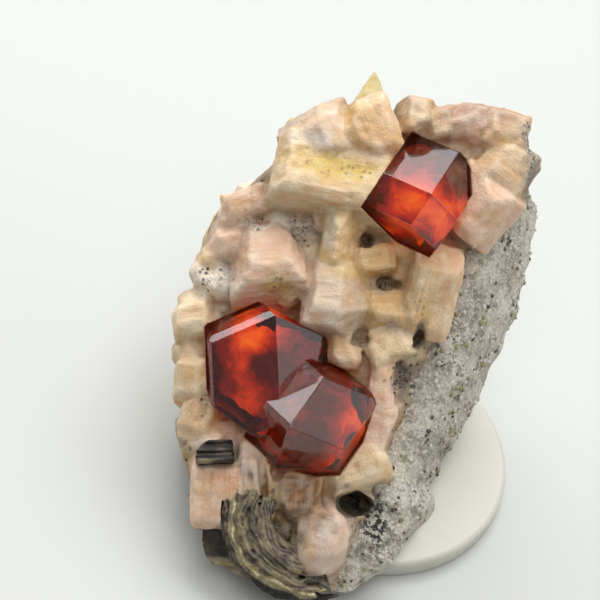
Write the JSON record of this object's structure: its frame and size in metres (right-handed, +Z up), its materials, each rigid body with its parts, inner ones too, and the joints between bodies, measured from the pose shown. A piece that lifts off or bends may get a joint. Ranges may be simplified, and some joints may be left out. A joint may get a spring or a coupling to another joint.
{
  "type": "garnet in matrix",
  "caption": "Orange-red garnet crystals on pale blocky feldspar and grey granular rock, with dark mica, resting on a round pale display disc.",
  "frame": {"origin": "middle of the display disc's underside, the face the object stands on", "axes": "+Z up; the crystal-covered face leans back and looks towards -Y and up; +Y points to its upper, higher end"},
  "size_m": [0.0351, 0.0426, 0.0328],
  "materials": {
    "garnet": "orange-red crystal, see-through, with bright flat faces",
    "feldspar": "satin cream to peach cleavage faces, stained ochre in places",
    "rock": "rough grey granular with dark and olive specks",
    "mica": "dark olive sheets with a soft shine",
    "yellow_crystal": "pale yellow, half clear",
    "disc": "cream, milky, smooth"
  },
  "bodies": {
    "root": {"garnet_upper": "garnet", "garnet_pair": "garnet", "feldspar_crystals": "feldspar", "rock_matrix": "rock", "mica_book_left": "mica", "mica_fan_front": "mica", "yellow_crystal": "yellow_crystal", "display_disc": "disc"}
  },
  "joints": []
}
